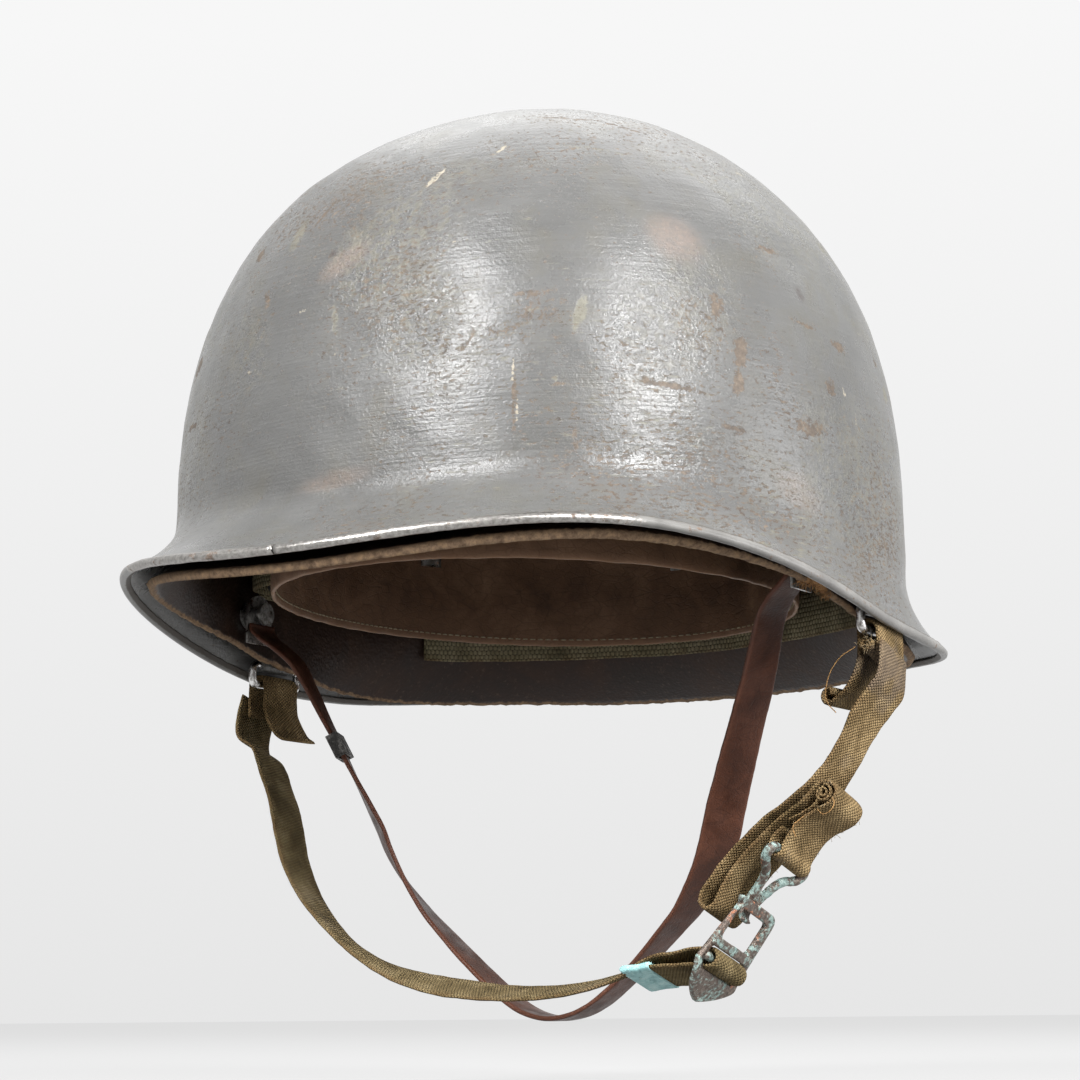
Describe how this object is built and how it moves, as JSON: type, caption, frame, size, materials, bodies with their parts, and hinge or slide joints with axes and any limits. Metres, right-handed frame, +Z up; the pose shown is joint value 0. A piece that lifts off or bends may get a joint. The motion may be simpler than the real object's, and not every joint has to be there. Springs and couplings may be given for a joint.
{
  "type": "steel military helmet with liner",
  "caption": "Domed steel helmet with a flared visor rim, a fibre liner with webbing inside, a cotton chin strap with hook and buckle, and a leather liner strap.",
  "frame": {"origin": "on the dome's vertical axis, at the level of the rim's lowest points beside the bails", "axes": "+Z up through the crown, -Y forward out of the visor, +X to the wearer's left"},
  "size_m": [0.243, 0.279, 0.2903],
  "materials": {
    "shell_paint": "semi-gloss grey brushed over older paint, chipped to olive, brown and rust",
    "rim_steel": "worn bright, stained",
    "lug_paint": "dull grey",
    "bail_wire": "worn bright wire",
    "chin_web": "faded olive-tan cotton, frayed at its edges",
    "tip_brass": "covered with verdigris",
    "hook_brass": "verdigris with brown-red corrosion",
    "buckle_brass": "dark brown-purple corrosion with grey-green patches",
    "liner_fibre": "dark brown lacquered fibre, torn at its edge",
    "eyelet_steel": "blackened",
    "inner_web": "faded cotton webbing",
    "lace_cord": "braided cotton lace",
    "rivet_steel": "blackened steel",
    "washer_steel": "blackened steel",
    "sweat_leather": "dark, rubbed",
    "clip_steel": "dull",
    "stud_steel": "dull",
    "strap_leather": "dark reddish brown with tan scuffs",
    "end_steel": "dull, spotted with rust"
  },
  "bodies": {
    "liner": {"liner_shell": "liner_fibre", "front_eyelet": "eyelet_steel", "headband_web": "inner_web", "suspension_webs": "inner_web", "crown_lace": "lace_cord", "web_rivets": "rivet_steel", "rivet_washers": "washer_steel", "sweatband": "sweat_leather", "sweatband_clips": "clip_steel", "sweatband_buckle": "clip_steel", "neckband": "inner_web", "neckband_rivets": "rivet_steel", "strap_studs": "stud_steel"},
    "shell": {"steel_shell": "shell_paint", "rim_band": "rim_steel", "left_bail_lug": "lug_paint", "right_bail_lug": "lug_paint", "left_strap_loop": "chin_web", "right_strap_loop": "chin_web"},
    "left_bail": {"left_bail": "bail_wire"},
    "right_bail": {"right_bail": "bail_wire"},
    "left_strap": {"left_web_strap": "chin_web"},
    "right_strap": {"right_web_strap": "chin_web", "strap_tip": "tip_brass", "strap_buckle": "buckle_brass"},
    "hook": {"strap_hook": "hook_brass"},
    "leather_strap": {"leather_strap": "strap_leather", "leather_strap_ends": "end_steel", "leather_strap_buckle": "end_steel"}
  },
  "joints": [
    {"name": "shell_lift", "type": "slide", "parent": "liner", "child": "shell", "axis": [0, 0, 1], "range_m": [0, 0.015]},
    {"name": "left_bail_swing", "type": "hinge", "parent": "shell", "child": "left_bail", "pos_m": [0.11347, 0.009, 0.008], "axis": [0, -1, 0], "range_deg": [0, 8]},
    {"name": "right_bail_swing", "type": "hinge", "parent": "shell", "child": "right_bail", "pos_m": [-0.11347, 0.009, 0.008], "axis": [0, 1, 0], "range_deg": [0, 8]},
    {"name": "left_strap_swing", "type": "hinge", "parent": "shell", "child": "left_strap", "pos_m": [0, 0.00578, -0.00952], "axis": [-1, 0, 0], "range_deg": [0, 45]},
    {"name": "right_strap_swing", "type": "hinge", "parent": "shell", "child": "right_strap", "pos_m": [0, 0.00578, -0.00952], "axis": [-1, 0, 0], "range_deg": [0, 45]},
    {"name": "hook_swing", "type": "hinge", "parent": "left_strap", "child": "hook", "pos_m": [0.09187, -0.01164, -0.06652], "axis": [0, 0.9563, -0.2924], "range_deg": [0, 8]},
    {"name": "leather_strap_swing", "type": "hinge", "parent": "liner", "child": "leather_strap", "pos_m": [0, -0.01703, 0.022], "axis": [1, 0, 0], "range_deg": [0, 45]}
  ],
  "couplings": [
    {"joint": "left_strap_swing", "follows": "right_strap_swing", "ratio": 1}
  ]
}
